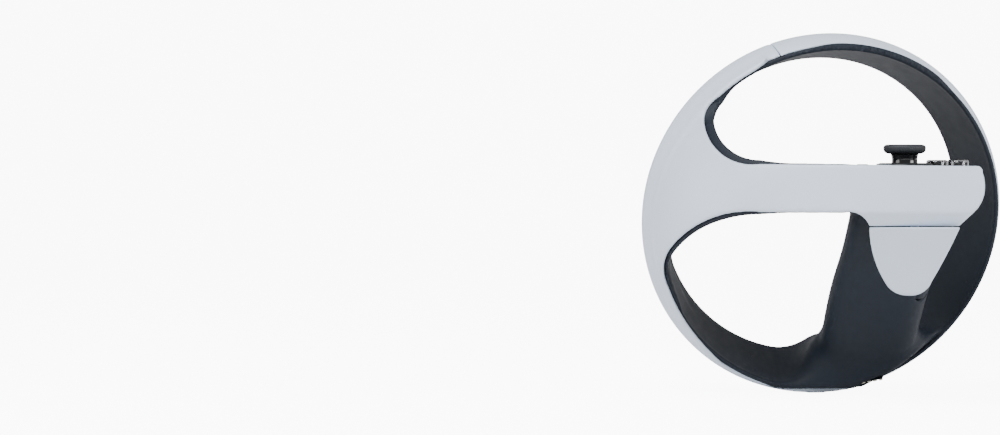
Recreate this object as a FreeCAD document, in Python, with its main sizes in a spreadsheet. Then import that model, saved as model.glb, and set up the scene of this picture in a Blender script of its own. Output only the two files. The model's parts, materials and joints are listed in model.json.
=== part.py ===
"""Right-hand VR motion controller: an open orb-shaped tracking ring, a front band that carries
the control head, and a raked hollow grip that stands on the bottom of the ring.

Frame: origin at the centre of the tracking ring, +Z up as the grip is held upright, -Y towards
the front (the trigger side), +X towards the side of the two action buttons. Millimetres.
"""
import FreeCAD, Part
import math
import os
import Sketcher
from FreeCAD import Placement, Rotation, Vector

os.makedirs("parts", exist_ok=True)
doc = FreeCAD.newDocument("motion_controller")
sheet = doc.addObject("Spreadsheet::Sheet", "Sizes")
row_count = 0


def define(alias, value):
    """Put one driving dimension in the sheet and give its value back."""
    global row_count
    row_count += 1
    sheet.set(f"A{row_count}", alias)
    sheet.set(f"B{row_count}", str(value))
    sheet.setAlias(f"B{row_count}", alias)
    return value


# ---- driving dimensions -------------------------------------------------------------------
skin = define("skin_thickness", 2.0)            # white outer mouldings
liner = define("liner_thickness", 1.5)          # dark inner mouldings
gap = define("assembly_gap", 0.1)               # between mouldings of one body
travel_gap = define("travel_gap", 0.3)          # round buttons and trigger

rim_radius = define("ring_front_rim_radius", 72.4)
rim_front = define("ring_front_rim_station", -12.0)
back_radius = define("ring_back_rim_radius", 63.6)
rim_back = define("ring_back_rim_station", 15.2)
ring_bulge = define("ring_bulge", 8.5)
ring_tilt = define("ring_tilt", 22.0)
ring_heading = define("ring_tilt_heading", 141.7)
seam_angle = define("ring_seam_angle", 254.0)   # where the two white mouldings meet at the top
foot_angle = define("ring_foot_angle", 74.0)    # where they meet under the grip

orb_x = define("orb_centre_x", -7.6)
orb_y = define("orb_centre_y", -12.3)
orb_z = define("orb_centre_z", -1.0)
orb_radius = define("orb_radius", 64.6)
brow_radius = define("brow_radius", 170.0)      # flat front of the band, seen from above
brow_turn = define("brow_turn", 0.16)           # sideways part of the band's normal where they join
brow_top = define("brow_top", 20.3)
brow_crease = define("brow_crease", 2.0)
brow_lip = define("brow_lip", -3.5)
brow_lean = define("brow_lean", 4.3)            # how far the top and the lip fall back
orb_half_depth = define("orb_reach", 95.0)

face_level = define("face_level", 20.2)
face_plate = define("face_plate", 2.2)
tub_floor = define("tub_floor_level", 2.2)
tub_wall = define("tub_wall", 2.0)

stick_x = define("stick_x", 33.3)
stick_y = define("stick_y", -48.2)
stick_pivot = define("stick_pivot_level", 13.5)
stick_well = define("stick_well_radius", 9.6)

trigger_x = define("trigger_x", 36.8)
pin_y = define("trigger_pin_y", -60.1)
pin_z = define("trigger_pin_z", 6.4)

grip_wall = define("grip_wall", 2.2)
grip_rake = define("grip_rake", 41.0)
grip_lean = define("grip_lean", 10.0)
button_radius = define("action_button_radius", 4.3)
button_travel = define("action_button_travel", 1.0)


# ---- helpers --------------------------------------------------------------------------------
def origin_plane(body, role):
    """The body's own origin plane with this role, such as XY_Plane."""
    return next(f for f in body.Origin.OriginFeatures if f.Role == role)


def new_body(name, placement=Placement()):
    body = doc.addObject("PartDesign::Body", name)
    body.Placement = placement
    return body


def new_sketch(body, role, height=0.0):
    """An empty sketch parallel to one of the body's origin planes, moved along its normal."""
    sketch = body.newObject("Sketcher::SketchObject", body.Name + "_sketch")
    sketch.AttachmentSupport = [(origin_plane(body, role), "")]
    sketch.MapMode = "FlatFace"
    sketch.AttachmentOffset = Placement(Vector(0, 0, height), Rotation())
    return sketch


def draw(sketch, start, steps):
    """Closed outline from start: a step (end,) is a line and a step (middle, end) is an arc."""
    here = Vector(*start, 0)
    for step in steps:
        end = Vector(*step[-1], 0)
        if len(step) == 2:
            sketch.addGeometry(Part.Arc(here, Vector(*step[0], 0), end), False)
        else:
            sketch.addGeometry(Part.LineSegment(here, end), False)
        here = end
    return sketch


def draw_circle(sketch, centre, alias):
    """A circle whose radius is bound to a cell."""
    index = sketch.addGeometry(Part.Circle(Vector(*centre, 0), Vector(0, 0, 1), 5.0), False)
    row = sketch.addConstraint(Sketcher.Constraint("Radius", index, 5.0))
    sketch.setExpression(f"Constraints[{row}]", "Sizes." + alias)


def rounded(centre, half, radius):
    """Start and steps of a rounded rectangle, for draw."""
    cx, cy = centre
    hx, hy = half
    c = radius * (1 - math.sqrt(0.5))
    start = (cx + hx, cy - hy + radius)
    steps = [
        ((cx + hx, cy + hy - radius),),
        ((cx + hx - c, cy + hy - c), (cx + hx - radius, cy + hy)),
        ((cx - hx + radius, cy + hy),),
        ((cx - hx + c, cy + hy - c), (cx - hx, cy + hy - radius)),
        ((cx - hx, cy - hy + radius),),
        ((cx - hx + c, cy - hy + c), (cx - hx + radius, cy - hy)),
        ((cx + hx - radius, cy - hy),),
        ((cx + hx - c, cy - hy + c), start),
    ]
    return start, steps


def pad(body, sketch, alias, reversed_side=False, midplane=False):
    feature = body.newObject("PartDesign::Pad", body.Name + "_pad")
    feature.Profile = sketch
    feature.setExpression("Length", "Sizes." + alias)
    feature.Reversed = reversed_side
    if midplane:
        feature.SideType = "Symmetric"
    return feature


def pocket(body, sketch, alias, reversed_side=False):
    feature = body.newObject("PartDesign::Pocket", body.Name + "_pocket")
    feature.Profile = sketch
    feature.setExpression("Length", "Sizes." + alias)
    feature.Reversed = reversed_side
    return feature


def revolve(body, sketch, angle=360.0):
    feature = body.newObject("PartDesign::Revolution", body.Name + "_turn")
    feature.Profile = sketch
    feature.ReferenceAxis = (sketch, ["V_Axis"])
    feature.Angle = angle
    return feature


def boolean(kind, name, base, tool):
    feature = doc.addObject("Part::" + kind, name)
    feature.Base = base
    feature.Tool = tool
    return feature


def fuse(name, shapes):
    feature = doc.addObject("Part::MultiFuse", name)
    feature.Shapes = shapes
    return feature


def block(name, size, centre, frame=Placement()):
    """A box of size (x, y, z) about centre in a frame, its three sides bound to cells."""
    box = doc.addObject("Part::Box", name)
    for side, axis, value in zip(("Length", "Width", "Height"), "xyz", size):
        alias = f"{name}_size_{axis}"
        define(alias, value)
        box.setExpression(side, "Sizes." + alias)
    corner = Vector(*centre) - Vector(*size) * 0.5
    box.Placement = frame.multiply(Placement(corner, Rotation()))
    return box


def rod(name, radius, length, base, axis=(0, 0, 1), frame=Placement()):
    """A cylinder from base along axis in a frame, its radius and length bound to cells."""
    cylinder = doc.addObject("Part::Cylinder", name)
    define(name + "_radius", radius)
    define(name + "_length", length)
    cylinder.setExpression("Radius", f"Sizes.{name}_radius")
    cylinder.setExpression("Height", f"Sizes.{name}_length")
    turn = Rotation(Vector(0, 0, 1), Vector(*axis))
    cylinder.Placement = frame.multiply(Placement(Vector(*base), turn))
    return cylinder


def soften(name, base, radius):
    """All edges of a primitive rounded."""
    doc.recompute()
    feature = doc.addObject("Part::Fillet", name)
    feature.Base = base
    feature.Edges = [(i + 1, radius, radius) for i in range(len(base.Shape.Edges))]
    return feature


def turned(name, start, steps, placement):
    """A part turned about its own Z axis from an outline of (radius, height) points."""
    body = new_body(name, placement)
    revolve(body, draw(new_sketch(body, "XZ_Plane"), start, steps))
    return body


NODES = {}


def node(name, feature):
    """Register a finished sub-part under its file name."""
    feature.Label = name
    NODES[name] = feature
    return feature


# ---- frames ---------------------------------------------------------------------------------
tilt, heading = math.radians(ring_tilt), math.radians(ring_heading)
ring_axis = Vector(math.sin(tilt) * math.cos(heading), math.cos(tilt), math.sin(tilt) * math.sin(heading))
ring_side = Vector(1, 0, 0) - ring_axis * ring_axis.x
ring_side.normalize()
ring_frame = Placement(Vector(), Rotation(ring_side, ring_axis.cross(ring_side), ring_axis, "XYZ"))
grip_down = Rotation(Vector(1, 0, 0), grip_rake).multVec(Vector(-math.tan(math.radians(grip_lean)), 0, -1))
grip_frame = Placement(Vector(31.5, -36, -6), Rotation(Vector(1, 0, 0), Vector(), grip_down * -1, "ZXY"))


def ring_turned(angle):
    """The ring frame turned about the ring's axis, where a revolved sketch starts."""
    return ring_frame.multiply(Placement(Vector(), Rotation(Vector(0, 0, 1), angle)))


def on_ring(radius, angle, station):
    """A point given by its radius, its angle about the ring's axis and its place along it."""
    a = math.radians(angle)
    return ring_frame.multVec(Vector(radius * math.cos(a), radius * math.sin(a), station))


# ---- tracking ring --------------------------------------------------------------------------
chord = Vector(back_radius - rim_radius, rim_back - rim_front, 0)
chord_length = chord.Length
chord.normalize()
outward = Vector(chord.y, -chord.x, 0)


def section(along, out):
    """Ring section point: distance from the front rim along the chord, and outwards from it."""
    point = Vector(rim_radius, rim_front, 0) + chord * along + outward * out
    return point.x, point.y


def crescent(name, angle, start_angle):
    """White ring moulding: a bowed skin whose two edges stand on the dark ring plate."""
    body = new_body(name, ring_turned(start_angle))
    middle = chord_length / 2
    foot = liner + gap
    outline = draw(
        new_sketch(body, "XZ_Plane"),
        section(0.3, foot),
        [
            (section(middle, ring_bulge), section(chord_length - 0.3, foot)),
            (section(chord_length - 0.3 - skin, foot),),
            (section(middle, ring_bulge - skin), section(0.3 + skin, foot)),
            (section(0.3, foot),),
        ],
    )
    revolve(body, outline, angle)
    return body


def ring_plate(name, inner, outer, front, back):
    """A band of the ring's section between two distances out from the chord."""
    body = new_body(name, ring_frame)
    corners = [section(front, inner), section(back, inner), section(back, outer), section(front, outer)]
    outline = draw(new_sketch(body, "XZ_Plane"), corners[0], [(c,) for c in corners[1:] + corners[:1]])
    revolve(body, outline)
    return body


left_arc = seam_angle - foot_angle - 0.2
left_ring = crescent("left_ring", left_arc, foot_angle + 0.1)
node("arch_shell", crescent("arch_shell", 359.8 - left_arc - 0.2, seam_angle + 0.1))
inner_ring = ring_plate("inner_ring", 0.0, liner, -0.4, chord_length + 0.4)
plate_room = ring_plate("plate_room", -0.6, liner + gap, -0.5, chord_length + 0.5)
flex_room = ring_plate("flex_room", 1.2, 4.8, 5.0, 23.0)
ring_room = ring_plate("ring_room", -gap, 14.0, -0.5, chord_length + 3)

node("tracking_flex", ring_plate("tracking_flex", 2.0, 2.3, 10.0, 18.0))
led_count = 16
led_angles = [foot_angle + 12 + i * 336 / led_count for i in range(led_count)]
led_seat = section(14, 3.0)
leds = []
for i, angle in enumerate(led_angles):
    led = doc.addObject("Part::Box", f"led_{i}")
    led.Length, led.Width, led.Height = 1.0, 2.8, 3.0
    seat = Placement(Vector(led_seat[0], -1.4, led_seat[1] - 1.5), Rotation())
    led.Placement = ring_turned(angle).multiply(seat)
    leds.append(led)
node("tracking_leds", fuse("tracking_leds", leds))

# ---- orb junction and front band ------------------------------------------------------------
brow_x = orb_x - orb_radius * brow_turn + brow_radius * brow_turn
brow_y = orb_y - math.sqrt(1 - brow_turn**2) * (orb_radius - brow_radius)
join_x = orb_x - orb_radius * brow_turn


def front_outline(name, low_x, high_x):
    """The band and the junction as seen from the front, as a thick slab along Y."""
    body = new_body(name)
    steps = [
        ((-24.2, brow_top + 0.8),),
        ((-40.5, 26.0), (-47.2, 37.6)),
        ((-46.6, 45.5), (-42.1, 50.7)),
        ((-46.0, 56.0),),
        ((-76.0, 50.0),),
        ((-76.0, -40.0),),
        ((-60.0, -36.5),),
        ((-62.3, -29.8),),
        ((-63.8, -21.5), (-60.7, -13.6)),
        ((-48.5, -3.3), (-24.0, 1.9)),
        ((9.0, 1.9),),
        ((15.6, 0.6), (18.8, brow_lip)),
        ((54.5, brow_lip),),
        ((61.2, 3.2),),
        ((64.4, 11.5), (63.2, brow_top)),
    ]
    pad(body, draw(new_sketch(body, "XZ_Plane", -orb_y + 2.0), (63.2, brow_top), steps), "orb_reach")
    window = doc.addObject("Part::Box", name + "_window")
    window.Length, window.Width, window.Height = high_x - low_x, 200, 200
    window.Placement = Placement(Vector(low_x, -150, -100), Rotation())
    return boolean("Common", name + "_side", body, window)


def orb_layer(name, outer, inner):
    """A spherical skin between two depths inside the orb."""
    ball = doc.addObject("Part::Sphere", name + "_ball")
    hollow = doc.addObject("Part::Sphere", name + "_hollow")
    ball.setExpression("Radius", f"Sizes.orb_radius - {outer}")
    hollow.setExpression("Radius", f"Sizes.orb_radius - {inner}")
    for sphere in (ball, hollow):
        sphere.Placement = Placement(Vector(orb_x, orb_y, orb_z), Rotation())
    return boolean("Cut", name, ball, hollow)


def brow_layer(name, outer, inner):
    """The leaning front wall of the band between two depths, turned about a far vertical axis."""
    lean_lip = brow_lean * 0.9
    corners = [
        (brow_radius - outer, brow_crease),
        (brow_radius - outer - brow_lean, brow_top + 1),
        (brow_radius - inner - brow_lean, brow_top + 1),
        (brow_radius - inner, brow_crease),
        (brow_radius - inner - lean_lip, brow_lip - 1),
        (brow_radius - outer - lean_lip, brow_lip - 1),
    ]
    body = new_body(name, Placement(Vector(brow_x, brow_y, 0), Rotation(Vector(0, 0, 1), -125)))
    outline = draw(new_sketch(body, "XZ_Plane"), corners[0], [(c,) for c in corners[1:] + corners[:1]])
    revolve(body, outline, 70)
    return body


orb_side = front_outline("orb_view", -80, join_x)
brow_side = front_outline("brow_view", join_x, 80)
orb_skin = boolean("Common", "orb_skin", orb_layer("orb_outer", 0.0, skin), orb_side)
brow_skin = boolean("Common", "brow_skin", brow_layer("brow_outer", 0.0, skin), brow_side)
orb_off_plate = boolean("Cut", "orb_off_plate", orb_skin, plate_room)
orb_clear = boolean("Cut", "orb_clear", orb_off_plate, flex_room)
node("main_shell", fuse("main_shell", [left_ring, orb_clear, brow_skin]))

liner_low, liner_high = skin + gap, skin + gap + liner
orb_back = boolean("Common", "orb_back", orb_layer("orb_inner", liner_low, liner_high), orb_side)
brow_back = boolean("Common", "brow_back", brow_layer("brow_inner", liner_low, liner_high), brow_side)
band_liner_whole = fuse("band_liner_whole", [orb_back, brow_back])
node("band_liner", boolean("Cut", "band_liner", band_liner_whole, ring_room))

# ---- control head ---------------------------------------------------------------------------
tub_front = brow_radius - brow_lean - skin - liner - 3 * gap


def front_y(x, inset=0.0):
    """Depth of the head's front wall at x."""
    return brow_y - math.sqrt((tub_front - inset) ** 2 - (x - brow_x) ** 2)


def head_plan(inset):
    """Start and steps of the head seen from above, inset from its outline."""
    i = inset
    start = (13 + i, front_y(13 + i, i))
    steps = [
        ((35, front_y(35, i)), (56 - i, front_y(56 - i, i))),
        ((60.8 - i, -56), (61.8 - i, -50)),
        ((58.4 - i, -31 - i / 2), (44, -21 - i)),
        ((30, -18.5 - i), (15 + i / 2, -24 - i)),
        ((9.5 + i, -33), (9 + i, -46)),
        ((9.2 + i, -60),),
        ((10.2 + i, -66 + i / 2), start),
    ]
    return start, steps


define("tub_height", face_level - face_plate - gap - tub_floor)
define("tub_depth", face_level - tub_floor - tub_wall)
define("trigger_slot_depth", tub_wall + 1)
define("cable_hole_radius", 9.0)
tub = new_body("head_tub", Placement(Vector(0, 0, tub_floor), Rotation()))
pad(tub, draw(new_sketch(tub, "XY_Plane"), *head_plan(0.0)), "tub_height")
doc.recompute()
pocket(tub, draw(new_sketch(tub, "XY_Plane", face_level - tub_floor), *head_plan(tub_wall)), "tub_depth")
doc.recompute()
slot = new_sketch(tub, "XY_Plane", tub_wall)
draw(slot, *rounded((trigger_x, -62.0), (9.2, 6.2), 2.0))
draw_circle(slot, (31, -34), "cable_hole_radius")
pocket(tub, slot, "trigger_slot_depth")
node("head_tub", tub)

BUTTONS = {
    "action_button_front": ((54.2, -52.5), "button_hole_radius"),
    "action_button_rear": ((46.6, -36.0), "button_hole_radius"),
    "menu_button": ((16.6, -44.0), "menu_hole_radius"),
    "home_button": ((21.0, -31.5), "home_hole_radius"),
}
define("button_hole_radius", button_radius + travel_gap)
menu_radius = define("menu_button_radius", 2.4)
home_radius = define("home_button_radius", 3.6)
define("menu_hole_radius", menu_radius + travel_gap)
define("home_hole_radius", home_radius + travel_gap)
define("stick_hole_radius", stick_well)
face = new_body("face_plate", Placement(Vector(0, 0, face_level - face_plate), Rotation()))
outline = draw(new_sketch(face, "XY_Plane"), *head_plan(0.0))
draw_circle(outline, (stick_x, stick_y), "stick_hole_radius")
for centre, hole in BUTTONS.values():
    draw_circle(outline, centre, hole)
pad(face, outline, "face_plate")
node("face_plate", face)

# ---- thumb stick ----------------------------------------------------------------------------
stick_seat = Placement(Vector(stick_x, stick_y, stick_pivot), Rotation())
cap_base, cap_top = 11.6, 15.2        # above the stick's pivot
cap = turned(
    "stick_cap", (0, cap_base + 0.6),
    [((3.6, cap_base + 0.6),), ((3.6, cap_base),), ((6.8, cap_base),),
     ((8.1, cap_base + 0.9), (8.4, cap_base + 2.0)), ((7.9, cap_top - 0.5), (6.6, cap_top),),
     ((3.4, cap_top - 0.3), (1.5, cap_top - 0.4)), ((0, cap_top - 0.4),), ((0, cap_base + 0.6),)],
    stick_seat)
node("stick_cap", cap)
stem = turned(
    "stick_stem", (0, -2.2),
    [((1.2, -2.2),), ((1.2, 3.4),), ((3.6, 5.4),), ((3.6, cap_base + 0.6),), ((0, cap_base + 0.6),),
     ((0, -2.2),)],
    stick_seat)
trunnion = rod("stick_trunnion", 0.7, 3.8, (0, -1.9, 0), (0, 1, 0), stick_seat)
node("stick_shaft", fuse("stick_shaft", [stem, trunnion]))
dome_outer, dome_inner = 8.6, 7.6       # both spheres are centred on the pivot, so it never rubs
low, high = math.radians(50), math.radians(26)


def on_dome(radius, angle):
    return radius * math.sin(angle), radius * math.cos(angle)


dome = turned(
    "stick_dome", on_dome(dome_outer, high),
    [(on_dome(dome_outer, (low + high) / 2), on_dome(dome_outer, low)), (on_dome(dome_inner, low),),
     (on_dome(dome_inner, 0.68), (3.65, math.sqrt(dome_inner**2 - 3.65**2))), (on_dome(dome_outer, high),)],
    stick_seat)
node("stick_dome", dome)
trim_low = face_level - stick_pivot - 1.2
trim = turned(
    "stick_trim_ring", (stick_well - 0.9, trim_low),
    [((stick_well - 0.1, trim_low),), ((stick_well - 0.1, trim_low + 1.25),),
     ((stick_well + 1.9, trim_low + 1.25),),
     ((stick_well + 1.5, trim_low + 1.9), (stick_well + 0.4, trim_low + 2.1)),
     ((stick_well - 0.9, trim_low + 2.1),), ((stick_well - 0.9, trim_low),)],
    stick_seat)
node("stick_trim_ring", trim)

yoke_block = block("yoke_block", (9.2, 4.0, 3.4), (0, 0, 0), stick_seat)
yoke_slot = block("yoke_slot", (6.6, 2.7, 8), (0, 0, 0), stick_seat)
yoke_bore = rod("yoke_bore", 0.8, 6.0, (0, -3.0, 0), (0, 1, 0), stick_seat)
yoke_frame = boolean("Cut", "yoke_frame", yoke_block, yoke_slot)
yoke_ring = boolean("Cut", "yoke_ring", yoke_frame, yoke_bore)
SIDES = {"left": -1, "right": 1}
yoke_pins = [rod(f"yoke_pin_{name}", 0.9, 2.2, (4.5 * side, 0, 0), (side, 0, 0), stick_seat)
             for name, side in SIDES.items()]
node("stick_yoke", fuse("stick_yoke", [yoke_ring] + yoke_pins))
carrier_block = block("carrier_block", (14.4, 12, 5.6), (0, 0, -1.2), stick_seat)
carrier_well = block("carrier_well", (11.2, 8.6, 8.4), (0, 0, 1.6), stick_seat)
carrier_bore = rod("carrier_bore", 0.95, 20, (-10, 0, 0), (1, 0, 0), stick_seat)
carrier_cut = boolean("Cut", "carrier_cut", carrier_block, carrier_well)
node("stick_carrier", boolean("Cut", "stick_carrier", carrier_cut, carrier_bore))
case_outer = block("stick_case_outer", (17.6, 15.2, 8.6), (0, 0, -3.3), stick_seat)
case_inner = block("stick_case_inner", (15.0, 12.6, 7.6), (0, 0, -1.8), stick_seat)
node("stick_case", boolean("Cut", "stick_case", case_outer, case_inner))
node("stick_switch", block("stick_switch", (4.0, 4.0, 0.9), (0, 0, -5.1), stick_seat))

# ---- face buttons ---------------------------------------------------------------------------
button_low = face_level - face_plate - 0.2


def cap_button(name, centre, radius, rise, flange):
    """A domed button with a flange that keeps it under the face plate."""
    top = face_level + rise - button_low
    steps = [
        ((flange, -1.0),), ((flange, -0.1),), ((radius, -0.1),), ((radius, top - 0.5),),
        ((radius - 0.15, top - 0.15), (radius - 0.5, top)),
        ((radius * 0.5, top - 0.12), (radius * 0.2, top - 0.2)),
        ((0, top - 0.2),), ((0, -1.0),),
    ]
    seat = Placement(Vector(*centre, button_low), Rotation())
    return node(name, turned(name, (0, -1.0), steps, seat))


cap_button("action_button_front", BUTTONS["action_button_front"][0], button_radius, 2.4, button_radius + 0.7)
cap_button("action_button_rear", BUTTONS["action_button_rear"][0], button_radius, 2.4, button_radius + 0.7)
cap_button("menu_button", BUTTONS["menu_button"][0], menu_radius, 0.7, menu_radius + 0.8)
cap_button("home_button", BUTTONS["home_button"][0], home_radius, 0.2, home_radius + 0.8)

pad_level = button_low - 1.0 - button_travel - travel_gap
membranes = [
    block("membrane_right", (11.6, 21.0, 0.8), (49.8, -44.3, pad_level - 0.5)),
    block("membrane_left", (8.0, 16.0, 0.8), (18.4, -38.6, pad_level - 0.5)),
]
for i, (centre, _) in enumerate(BUTTONS.values()):
    membranes.append(rod(f"membrane_dome_{i}", 1.6, 0.9, (*centre, pad_level - 0.9)))
node("button_membrane", fuse("button_membrane", membranes))
board_level = pad_level - 0.9 - gap
board_right = block("board_right", (12.0, 22.0, 1.0), (49.6, -44.2, board_level - 0.5))
board_left = block("board_left", (8.0, 16.0, 1.0), (18.4, -38.6, board_level - 0.5))
board_bridge = block("board_bridge", (34.0, 7.0, 1.0), (33.0, -35.0, board_level - 0.5))
node("button_board", fuse("button_board", [board_right, board_left, board_bridge]))

# ---- trigger ---------------------------------------------------------------------------------
trigger_top = brow_lip - 0.35
trigger_view = new_body("trigger_view")
define("trigger_reach", 30.0)
trigger_steps = [
    ((18.9, trigger_top),),
    ((21.3, -15.5), (28.4, -27.0)),
    ((34.9, -31.2), (41.6, -27.0)),
    ((50.3, -14.0), (54.3, trigger_top)),
]
trigger_sketch = new_sketch(trigger_view, "XZ_Plane", -pin_y - 3)
pad(trigger_view, draw(trigger_sketch, (54.3, trigger_top), trigger_steps), "trigger_reach")
trigger_side = new_body("trigger_side", Placement(Vector(-10, 0, 0), Rotation()))
define("trigger_span", 80.0)
side_steps = [
    ((-68.2, -16.0), (-61.8, -32.5)),
    ((-59.2, -32.5),),
    ((-65.4, -16.0), (-70.6, trigger_top + 1)),
    ((-74.0, trigger_top + 1),),
]
side_sketch = draw(new_sketch(trigger_side, "YZ_Plane"), (-74.0, trigger_top + 1), side_steps)
pad(trigger_side, side_sketch, "trigger_span")
trigger_face = boolean("Common", "trigger_face", trigger_view, trigger_side)
pin_seat = Placement(Vector(trigger_x, pin_y, pin_z), Rotation(Vector(0, 1, 0), 90))
hub = rod("trigger_hub", 2.2, 14.0, (0, 0, -7), frame=pin_seat)
web_body = new_body("trigger_web", Placement(Vector(trigger_x - 1.6, 0, 0), Rotation()))
define("trigger_web_width", 3.2)
web_steps = [((pin_y + 2.0, pin_z),), ((pin_y + 2.0, pin_z - 6),), ((-66.0, -10.5),), ((-71.0, -7.5),),
             ((-67.2, -4.6),), ((pin_y - 2.0, pin_z - 5),), ((pin_y - 2.0, pin_z),)]
pad(web_body, draw(new_sketch(web_body, "YZ_Plane"), (pin_y - 2.0, pin_z), web_steps), "trigger_web_width")
trigger_whole = fuse("trigger_whole", [trigger_face, hub, web_body])
pin_bore = rod("trigger_bore", 1.15, 40, (0, 0, -20), frame=pin_seat)
node("trigger", boolean("Cut", "trigger", trigger_whole, pin_bore))
node("trigger_pin", rod("trigger_pin", 1.1, 22.0, (0, 0, -11), frame=pin_seat))

bracket_parts = []
for name, side in SIDES.items():
    x = trigger_x + side * 9.0
    ear = block(f"bracket_ear_{name}", (2.6, 6.0, 4.7), (x, pin_y + 0.5, pin_z + 0.25))
    bracket_parts.append(ear)
bracket_parts.append(block("bracket_bar", (20.6, 1.1, 4.7), (trigger_x, pin_y + 3.75, pin_z + 0.25)))
bracket_whole = fuse("bracket_whole", bracket_parts)
bracket_bore = rod("bracket_bore", 1.1, 40, (0, 0, -20), frame=pin_seat)
node("trigger_bracket", boolean("Cut", "trigger_bracket", bracket_whole, bracket_bore))

spring_seat = Placement(Vector(trigger_x + 4.2, pin_y, pin_z), Rotation(Vector(0, 1, 0), 90))
spring_ring = doc.addObject("Part::Torus", "spring_ring")
spring_ring.setExpression("Radius1", "Sizes.trigger_hub_radius + 0.55")
spring_ring.Radius2 = 0.35
spring_ring.Placement = spring_seat
node("trigger_spring", spring_ring)

motor = rod("force_motor_can", 3.6, 11.0, (trigger_x, -43.5, -2.6), (0, 1, 0))
gearbox = block("force_gearbox", (8.4, 6.0, 7.4), (trigger_x, -46.5, -2.6))
node("force_feedback_motor", fuse("force_feedback_motor", [motor, gearbox]))

# ---- grip ------------------------------------------------------------------------------------
GRIP_SECTIONS = [               # level, centre x and y, half width and half depth
    (tub_floor - gap, 33.6, -37.5, 21.6, 18.4),
    (-12.0, 29.8, -31.0, 20.8, 18.2),
    (-30.0, 24.2, -17.0, 20.2, 17.6),
    (-47.0, 20.6, -3.0, 19.8, 16.0),
    (-61.0, 18.8, 8.5, 18.6, 13.4),
    (-73.6, 17.8, 16.6, 15.6, 9.6),
]


def grip_loft(name, inset):
    """The grip as a loft through rounded sections; an inset one leaves a floor of the same depth."""
    body = new_body(name)
    foot_level = GRIP_SECTIONS[-1][0]
    sketches = []
    for level, cx, cy, hx, hy in GRIP_SECTIONS:
        sketch = new_sketch(body, "XY_Plane", level + (inset if level == foot_level else 0))
        half = (hx - inset, hy - inset * 1.2)
        sketches.append(draw(sketch, *rounded((cx, cy), half, min(half) * 0.86)))
    loft = body.newObject("PartDesign::AdditiveLoft", name + "_loft")
    loft.Profile = sketches[0]
    loft.Sections = sketches[1:]
    return body


def grip_half_room(name, low_y):
    """A box over one half of the grip, to cut that half away."""
    room = doc.addObject("Part::Box", name)
    room.Length, room.Width, room.Height = 120, 80, 160
    room.Placement = grip_frame.multiply(Placement(Vector(-60, low_y, -110), Rotation()))
    return room


grip_solid = grip_loft("grip_solid", 0.0)
grip_cavity = grip_loft("grip_cavity", grip_wall)
grip_tube = boolean("Cut", "grip_tube", grip_solid, grip_cavity)
grip_trim = boolean("Cut", "grip_trim", grip_tube, ring_room)
rear_room = grip_half_room("grip_rear_room", -gap / 2)
front_room = grip_half_room("grip_front_room", gap / 2 - 80)

port_turn = Rotation(Vector(1, 0, 0), 47).multiply(Rotation(Vector(0, 1, 0), -17))
port_frame = Placement(Vector(21.0, 6.6, -68.6), port_turn)
port_room = block("port_room", (12.6, 16.0, 7.0), (0, 3.0, 0), port_frame)
node("ring_inner_shell", boolean("Cut", "ring_inner_shell", inner_ring, port_room))
key_centre, key_reach, key_width, key_height = (27.5, -5.6, -16.0), 37.0, 10.0, 25.0
key_room = (key_reach, key_width + 2 * travel_gap, key_height + 2 * travel_gap)
button_room = block("grip_button_room", key_room, key_centre, grip_frame)
front_half = boolean("Cut", "grip_front_half", grip_trim, rear_room)
front_ported = boolean("Cut", "grip_front_ported", front_half, port_room)
node("grip_front_shell", boolean("Cut", "grip_front_shell", front_ported, button_room))
rear_half = boolean("Cut", "grip_rear_half", grip_trim, front_room)
rear_ported = boolean("Cut", "grip_rear_ported", rear_half, port_room)
node("grip_rear_shell", boolean("Cut", "grip_rear_shell", rear_ported, button_room))
button_form = block("grip_button_form", (key_reach, key_width, key_height), key_centre, grip_frame)
node("grip_button", boolean("Common", "grip_button", grip_tube, button_form))

# ---- inside the grip ---------------------------------------------------------------------------
node("grip_chassis", block("grip_chassis", (25.0, 1.4, 56.0), (0, 0.9, -38.0), grip_frame))
cell = block("battery_cell", (21.0, 6.2, 34.0), (0, 4.9, -29.0), grip_frame)
node("battery", soften("battery", cell, 1.2))
node("main_board", block("main_board", (22.0, 1.0, 52.0), (0, -0.4, -38.0), grip_frame))
haptic = block("haptic_body", (17.0, 5.4, 15.0), (0, 4.5, -55.0), grip_frame)
node("haptic_actuator", soften("haptic_actuator", haptic, 1.0))
CHIPS = ((7.0, -4.0, -24.0), (5.0, 5.0, -36.0), (4.0, -6.0, -46.0))    # side, x, z on the board
chips = [block(f"chip_{i}", (side, 1.0, side), (x, -1.4, z), grip_frame)
         for i, (side, x, z) in enumerate(CHIPS)]
node("board_chips", fuse("board_chips", chips))
node("grip_button_switch", block("grip_button_switch", (2.4, 4.0, 6.0), (9.6, -4.6, -16.0), grip_frame))
node("touch_foil", block("touch_foil", (16.0, 0.3, 26.0), (-1.0, -9.4, -30.0), grip_frame))

# ---- charging port ------------------------------------------------------------------------------
bezel_outer = block("bezel_outer", (12.4, 12.0, 6.8), (0, 5.4, 0), port_frame)
bezel_hole = block("bezel_hole", (9.4, 20.0, 3.6), (0, 3.4, 0.3), port_frame)
node("port_bezel", boolean("Cut", "port_bezel", bezel_outer, bezel_hole))
usb_outer = soften("usb_outer", block("usb_outer_block", (9.2, 8.4, 3.4), (0, 8.0, 0.3), port_frame), 1.6)
usb_hole = block("usb_hole", (8.2, 7.4, 2.4), (0, 7.0, 0.3), port_frame)
usb_shell = boolean("Cut", "usb_shell", usb_outer, usb_hole)
usb_tongue = block("usb_tongue", (6.6, 6.6, 0.7), (0, 8.9, 0.3), port_frame)
node("usb_socket", fuse("usb_socket", [usb_shell, usb_tongue]))
contact_pitch = 2.5
contacts = [block(f"contact_{i}", (1.7, 2.2, 0.5), ((i - 1.5) * contact_pitch, -1.7, -2.2), port_frame)
            for i in range(4)]
node("charge_contacts", fuse("charge_contacts", contacts))

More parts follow.
